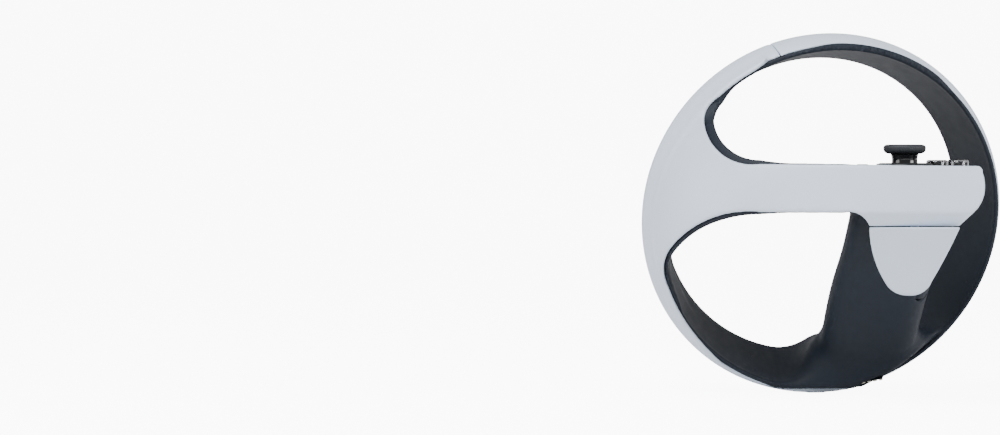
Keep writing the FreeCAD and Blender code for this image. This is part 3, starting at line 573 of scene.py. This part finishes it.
# ---- trigger -------------------------------------------------------------------------------------
trigger_top = BROW_LIP - 0.35
trigger_space = Lattice((17.0, -76.0, -34.5), (56.0, -56.0, 10.0), FINE)
x, y, z = trigger_space.x, trigger_space.y, trigger_space.z
TRIGGER_VIEW = outline((56.2, 0.0), [
    ((18.3, 0.0),), ((18.9, trigger_top),),
    ((20.2, -14.0), (25.4, -26.2)),
    ((29.2, -30.0), (34.6, -31.2)),
    ((40.0, -30.0), (43.6, -25.6)),
    ((49.2, -15.0), (54.3, trigger_top)), ((56.2, 0.0),),
])
TRIGGER_SIDE = outline((-74.9, 0.0), [
    ((-74.0, trigger_top),),
    ((-68.2, -16.0), (-61.8, -32.5)),
    ((-59.2, -32.5),),
    ((-65.4, -16.0), (-70.6, trigger_top)),
    ((-71.4, 0.0),),
])
TRIGGER_WEB = outline((PIN_Y - 2.0, PIN_Z), [
    ((PIN_Y + 2.0, PIN_Z),), ((PIN_Y + 2.0, PIN_Z - 6),), ((-66.0, -10.5),), ((-71.0, -7.5),),
    ((-67.2, -4.6),), ((PIN_Y - 2.0, PIN_Z - 5),), ((PIN_Y - 2.0, PIN_Z),),
])
trigger_view = outline_field(TRIGGER_VIEW, x[:, :, 0], z[0])[:, None, :]
crown = 0.6 * ((x - TRIGGER_X) / 16.0) ** 2 - 0.3
trigger_side = outline_field(TRIGGER_SIDE, y[0], z[0])[None] + crown
web = both(outline_field(TRIGGER_WEB, y[0], z[0])[None], np.abs(x - TRIGGER_X) - 1.6)
pin_distance = np.sqrt((y - PIN_Y) ** 2 + (z - PIN_Z) ** 2)
hub = both(pin_distance - 2.2, np.abs(x - TRIGGER_X) - 7.0, 0.4)
paddle = both(both(trigger_view, trigger_side, 1.3), z - trigger_top, 0.4)
trigger = less(join(join(paddle, web, 1.5), hub, 0.8), pin_distance - 1.15)
placed(trigger_space.mesh("trigger_moulding", trigger, 2), "white", "trigger", "trigger")
del trigger_view, trigger_side, web, hub, paddle, trigger, pin_distance, crown


# ---- round parts ---------------------------------------------------------------------------------
def lathed(name, start, steps, base, turn=Matrix.Identity(3), sides=96, knurl=None):
    """A closed profile of radius and height, turned about the local Z axis. knurl gives the change
    of radius at an angle."""
    profile = outline(start, steps)
    if profile[0] == profile[-1]:
        profile.pop()
    points, rings = [], []
    for r, h in profile:
        if r < 1e-6:
            rings.append([len(points)] * sides)
            points.append((0.0, 0.0, h))
            continue
        rings.append(range(len(points), len(points) + sides))
        for i in range(sides):
            angle = math.tau * i / sides
            size = r + (knurl(r, h, angle) if knurl else 0.0)
            points.append((size * math.cos(angle), size * math.sin(angle), h))
    faces = []
    for one, two in zip(rings, rings[1:] + rings[:1]):
        for i in range(sides):
            k = (i + 1) % sides
            corners = dict.fromkeys((one[i], one[k], two[k], two[i]))
            if len(corners) > 2:
                faces.append(tuple(corners))
    mesh = bpy.data.meshes.new(name)
    mesh.from_pydata([(Vector(base) + turn @ Vector(p)) * MM for p in points], [], faces)
    return finished(name, mesh)


CAP_BASE, CAP_TOP = 11.6, 15.2


def cap_knurl(r, h, angle):
    """Fine ribs round the stick cap's rim."""
    return 0.07 * math.cos(60 * angle) * (1 if r > 8.0 and h < CAP_TOP - 0.4 else 0)


placed(lathed(
    "stick_cap_rubber", (0, CAP_BASE + 0.5), [
        ((5.6, CAP_BASE + 0.5),), ((5.8, CAP_BASE + 0.05), (6.6, CAP_BASE),),
        ((8.0, CAP_BASE + 0.7), (8.4, CAP_BASE + 1.9)), ((8.0, CAP_TOP - 0.35), (6.9, CAP_TOP)),
        ((6.3, CAP_TOP), (6.0, CAP_TOP - 0.3)), ((5.8, CAP_TOP - 0.55), (5.4, CAP_TOP - 0.5)),
        ((2.8, CAP_TOP - 0.9), (0, CAP_TOP - 1.0))],
    STICK, sides=240, knurl=cap_knurl), "rubber", "stick", "stick_cap")
placed(lathed(
    "stick_stem", (0, -2.2), [
        ((1.2, -2.2),), ((1.2, 3.4),), ((3.4, 5.2),), ((4.9, 6.2), (5.2, 7.8)), ((5.1, 9.4), (5.3, 10.6)),
        ((5.7, 11.5), (6.4, CAP_BASE + 0.3)), ((0, CAP_BASE + 0.3),)],
    STICK), "gloss", "stick", "stick_shaft")


def on_dome(size, angle):
    """Radius and height on a sphere about the stick's centre, at this angle from its axis."""
    return size * math.sin(angle), size * math.cos(angle)


placed(lathed(
    "stick_dome_skirt", on_dome(8.6, math.radians(30)), [
        (on_dome(8.6, math.radians(40)), on_dome(8.6, math.radians(50))),
        (on_dome(7.6, math.radians(50)),),
        (on_dome(7.6, math.radians(40)), on_dome(7.6, math.radians(30))),
        (on_dome(8.6, math.radians(30)),)],
    STICK), "black", "stick", "stick_dome")
trim_low = FACE_LEVEL - STICK.z - 1.2
placed(lathed(
    "stick_trim", (STICK_WELL - 0.9, trim_low), [
        ((STICK_WELL - 0.1, trim_low),), ((STICK_WELL - 0.1, trim_low + 1.25),),
        ((STICK_WELL + 1.9, trim_low + 1.25),),
        ((STICK_WELL + 1.6, trim_low + 1.85), (STICK_WELL + 0.7, trim_low + 2.1)),
        ((STICK_WELL - 0.7, trim_low + 2.05), (STICK_WELL - 0.9, trim_low + 1.7)),
        ((STICK_WELL - 0.9, trim_low),)],
    STICK), "black", "root", "stick_trim_ring")

BUTTON_LOW = FACE_LEVEL - FACE_PLATE - 0.2
for name, body, dots in (("action_button_front", "action_front", 1),
                         ("action_button_rear", "action_rear", 2)):
    centre_x, centre_y, size = BUTTONS[name]
    seat, top = (centre_x, centre_y, BUTTON_LOW), FACE_LEVEL + 2.4 - BUTTON_LOW
    placed(lathed(
        name + "_cap", (0, top - 0.45), [
            ((size - 1.0, top - 0.45),), ((size - 0.55, top - 0.5), (size - 0.3, top - 0.9)),
            ((size - 0.3, 0.6),), ((size, 0.6),), ((size, top - 0.9),),
            ((size - 0.25, top - 0.25), (size - 0.9, top)), ((size * 0.5, top - 0.14), (0, top - 0.2))],
        seat), "clear", body, name)
    placed(lathed(
        name + "_core", (0, -1.0), [
            ((size + 0.7, -1.0),), ((size + 0.7, -0.1),), ((size - 0.1, -0.1),), ((size - 0.1, 0.5),),
            ((size - 0.35, 0.5),), ((size - 0.35, top - 0.95),),
            ((size - 0.6, top - 0.6), (size - 1.05, top - 0.5)), ((0, top - 0.5),)],
        seat), "gloss", body)
    for i in range(dots):
        spot = (centre_x + 1.5 * (i - (dots - 1) / 2), centre_y, BUTTON_LOW + top - 0.50)
        dot = lathed(f"{name}_dot_{i + 1}", (0, 0), [((0.42, 0),), ((0.42, 0.04),), ((0, 0.04),)],
                     spot, sides=32)
        placed(dot, "mark", body)

for name, body, rise, look in (("menu_button", "menu", 0.7, "black"),
                               ("home_button", "home", 0.2, "gloss")):
    centre_x, centre_y, size = BUTTONS[name]
    top = FACE_LEVEL + rise - BUTTON_LOW
    placed(lathed(
        name + "_cap", (0, -1.0), [
            ((size + 0.8, -1.0),), ((size + 0.8, -0.1),), ((size, -0.1),), ((size, top - 0.5),),
            ((size - 0.15, top - 0.15), (size - 0.5, top)), ((size * 0.72, top),),
            ((size * 0.66, top - 0.2), (size * 0.6, top)), ((size * 0.3, top - 0.1), (0, top - 0.15))],
        (centre_x, centre_y, BUTTON_LOW)), look, body, name)

strap_axis = Vector((math.cos(STRAP_HEADING), math.sin(STRAP_HEADING), 0.0))
strap_turn = strap_axis.to_track_quat("Z", "Y").to_matrix()
placed(lathed(
    "strap_anchor_disc", (STRAP_BORE, 0.3), [
        ((2.9, 0.0),), ((6.3, 0.0),), ((6.6, 0.3),), ((6.6, 1.7),), ((6.4, 2.3), (5.8, 2.4)),
        ((5.4, 2.3), (5.2, 1.7)), ((5.0, 1.3), (4.6, 1.3)), ((4.2, 1.3), (4.0, 1.8)),
        ((3.7, 2.4), (3.1, 2.4)), ((2.7, 2.3), (STRAP_BORE, 1.9)), ((STRAP_BORE, 0.3),)],
    STRAP_BASE, strap_turn), "black", "root", "strap_anchor")

# ---- charging port: sampled in its own frame, then turned into place ----------------------------
port_space = Lattice((-7.0, -4.0, -4.2), (7.0, 12.5, 4.2), FINE / 1.8)
x, y, z = port_space.x, port_space.y, port_space.z
mouth = rounded_box(x, z - PORT_MOUTH_RISE, *PORT_MOUTH)
bezel = both(rounded_box(x, z, *BEZEL), np.abs(y - 5.4) - 6.0, 0.8)
bezel = less(bezel, mouth, 0.5)
pads = np.min([rounded_box(x - PAD_PITCH * (i - (PAD_COUNT - 1) / 2), z + PAD_DROP, *PAD)
               for i in range(PAD_COUNT)], axis=0)
pads = both(pads, np.abs(y + PAD_MIDDLE) - PAD_HALF_THICKNESS, 0.15)
for name, field, look, node in (("port_bezel_frame", bezel, "dark", "port_bezel"),
                                ("charge_pads", pads, "gold", "charge_contacts")):
    piece = port_space.mesh(name, field, 1)
    piece.data.transform(Matrix.Translation(PORT_BASE * MM) @ PORT_TURN.to_4x4())
    placed(piece, look, "root", node)
del bezel, mouth, pads


# ---- stage, light and camera ---------------------------------------------------------------------
def backdrop(level):
    """A pale floor that curves up into a wall behind the object."""
    profile = [(-2.5, 0.0), (1.2, 0.0)]
    profile += [(1.2 + 0.8 * math.sin(t), 0.8 - 0.8 * math.cos(t))
                for t in (math.radians(a) for a in range(6, 91, 6))]
    profile.append((2.0, 3.5))
    mesh = bpy.data.meshes.new("backdrop")
    rows = [[(side, depth, level + rise) for depth, rise in profile] for side in (-4.0, 4.0)]
    count = len(profile)
    faces = [(i, i + 1, count + i + 1, count + i) for i in range(count - 1)]
    mesh.from_pydata(rows[0] + rows[1], [], faces)
    piece = bpy.data.objects.new("backdrop", mesh)
    bpy.context.scene.collection.objects.link(piece)
    for polygon in mesh.polygons:
        polygon.use_smooth = True
    paper = moulded("backdrop_paper", (0.90, 0.90, 0.91), 0.85, mottle=0.004, wear=0.02)
    tree = paper.node_tree
    glow = tree.nodes["Principled BSDF"].inputs
    glow["Emission Color"].default_value = (1.0, 1.0, 1.0, 1.0)
    ray, level_of_glow = tree.nodes.new("ShaderNodeLightPath"), tree.nodes.new("ShaderNodeMapRange")
    level_of_glow.inputs["To Min"].default_value = 0.05      # towards the object
    level_of_glow.inputs["To Max"].default_value = 9.0       # as the camera sees it
    tree.links.new(ray.outputs["Is Camera Ray"], level_of_glow.inputs["Value"])
    tree.links.new(level_of_glow.outputs["Result"], glow["Emission Strength"])
    mesh.materials.append(paper)


def softbox(name, place, target, size, power, colour=(1.0, 1.0, 1.0)):
    """A square area light aimed at a point."""
    lamp = bpy.data.lights.new(name, "AREA")
    lamp.shape, lamp.size, lamp.energy, lamp.color = "SQUARE", size, power, colour
    light = bpy.data.objects.new(name, lamp)
    light.location = place
    light.rotation_euler = (Vector(target) - Vector(place)).to_track_quat("-Z", "Y").to_euler()
    bpy.context.scene.collection.objects.link(light)


def studio():
    """Soft studio light and the camera at the photographed angle."""
    scene = bpy.context.scene
    world = bpy.data.worlds.new("studio")
    world.use_nodes = True
    world.node_tree.nodes["Background"].inputs["Color"].default_value = (1.0, 1.0, 1.0, 1.0)
    world.node_tree.nodes["Background"].inputs["Strength"].default_value = 0.35
    scene.world = world
    softbox("key_above", (-0.4, -0.8, 1.2), (0, 0, 0), 0.9, 30.0)
    softbox("fill_left", (-1.3, -0.6, 0.3), (0, 0, 0), 0.9, 9.0)
    softbox("edge_right", (1.2, -0.5, 0.4), (0, 0, 0), 0.7, 13.0)
    camera = bpy.data.cameras.new("camera")
    camera.lens, camera.sensor_width = 102.5, 36.0
    holder = bpy.data.objects.new("camera", camera)
    holder.location = (0.0, -1.2, 0.02)
    yaw, pitch = math.radians(6.43), math.radians(-1.03)
    holder.rotation_euler = (math.pi / 2 + pitch, 0.0, yaw)
    scene.collection.objects.link(holder)
    scene.camera = holder


backdrop(cad_box[0][2])
studio()
